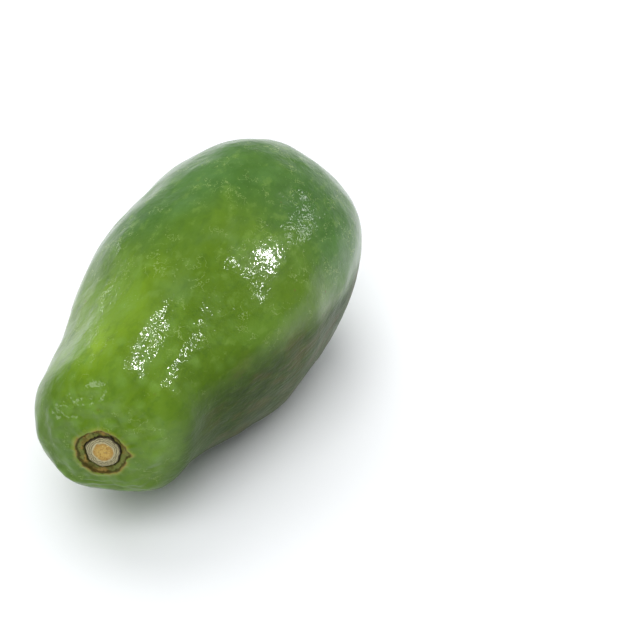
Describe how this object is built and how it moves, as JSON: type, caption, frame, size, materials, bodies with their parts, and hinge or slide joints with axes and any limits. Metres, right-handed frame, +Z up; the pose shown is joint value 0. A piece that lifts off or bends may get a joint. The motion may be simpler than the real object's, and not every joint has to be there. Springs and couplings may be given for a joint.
{
  "type": "papaya",
  "caption": "Whole unripe green papaya lying on its side, with a necked stem end, soft ridges and the dry stub of its stalk.",
  "frame": {"origin": "on the surface the fruit rests on, in the middle of its bounding box", "axes": "+Z up; +Y along the fruit's length, from the stem end to the blossom end; +X to the right of an observer who looks along +Y"},
  "size_m": [0.1352, 0.2528, 0.1362],
  "materials": {
    "skin": "gloss",
    "stalk": "matte"
  },
  "bodies": {
    "root": {"fruit": "skin", "stem_stub": "stalk"}
  },
  "joints": []
}
